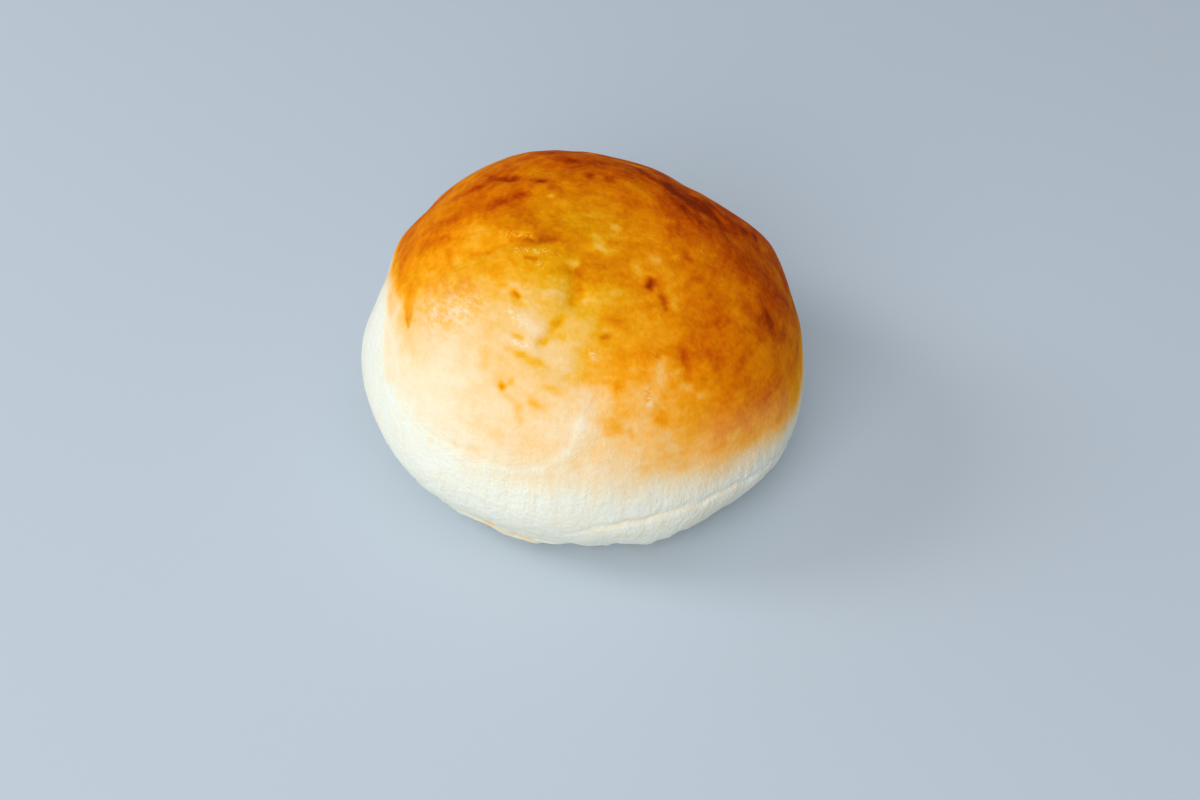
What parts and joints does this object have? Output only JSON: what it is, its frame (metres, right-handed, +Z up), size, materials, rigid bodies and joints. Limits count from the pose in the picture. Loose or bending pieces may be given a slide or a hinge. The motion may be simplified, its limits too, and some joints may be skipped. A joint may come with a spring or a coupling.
{
  "type": "runza",
  "caption": "Filled bread bun, baked golden, with a browned domed crown, a pale side, a long fold low on the front and a flat underside to rest on.",
  "frame": {"origin": "centre of the bun's footprint, on the surface that it rests on", "axes": "+Z up through the crown, -Y towards the side with the long fold, +X to that side's right"},
  "size_m": [0.107, 0.1068, 0.0651],
  "materials": {
    "crust": "baked bread crust: deep golden to brown on the crown with a soft egg-wash sheen, pale cream and matt on the lower side"
  },
  "bodies": {
    "root": {"bread_bun": "crust"}
  },
  "joints": []
}
